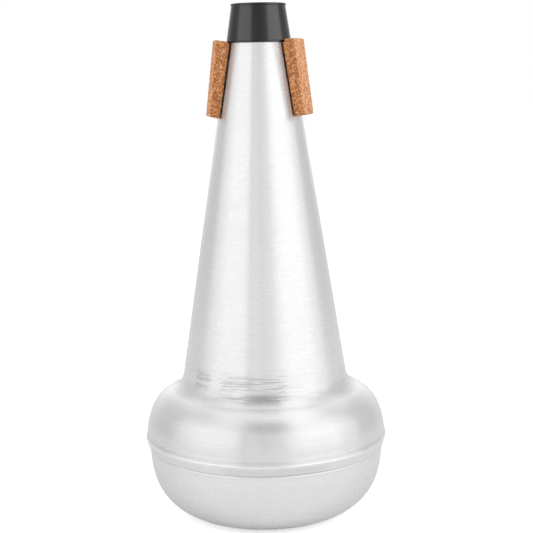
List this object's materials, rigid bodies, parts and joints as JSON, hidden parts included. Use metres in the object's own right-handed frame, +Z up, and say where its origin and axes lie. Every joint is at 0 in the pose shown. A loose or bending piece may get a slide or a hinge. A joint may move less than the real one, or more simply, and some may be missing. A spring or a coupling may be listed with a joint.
{
  "type": "trombone practice mute",
  "caption": "Spun metal brass mute: a long cone on a domed chamber with a rolled base pan, a vented cap on the narrow end and cork strips that grip the bell.",
  "frame": {"origin": "centre of the flat base, on the surface that the mute stands on", "axes": "+Z up along the mute's axis towards the narrow end, -Y towards the viewer of the picture, +X to the viewer's right"},
  "size_m": [0.115, 0.115, 0.2395],
  "materials": {
    "spun_aluminium": "satin",
    "cap_plastic": "semi-gloss",
    "cork": "sanded, rough",
    "glue": "dried contact glue"
  },
  "bodies": {
    "root": {"body_shell": "spun_aluminium", "base_pan": "spun_aluminium", "end_cap": "cap_plastic", "cork_strip_left": "cork", "glue_bed_left": "glue", "cork_strip_right": "cork", "glue_bed_right": "glue", "cork_strip_back": "cork", "glue_bed_back": "glue"}
  },
  "joints": []
}
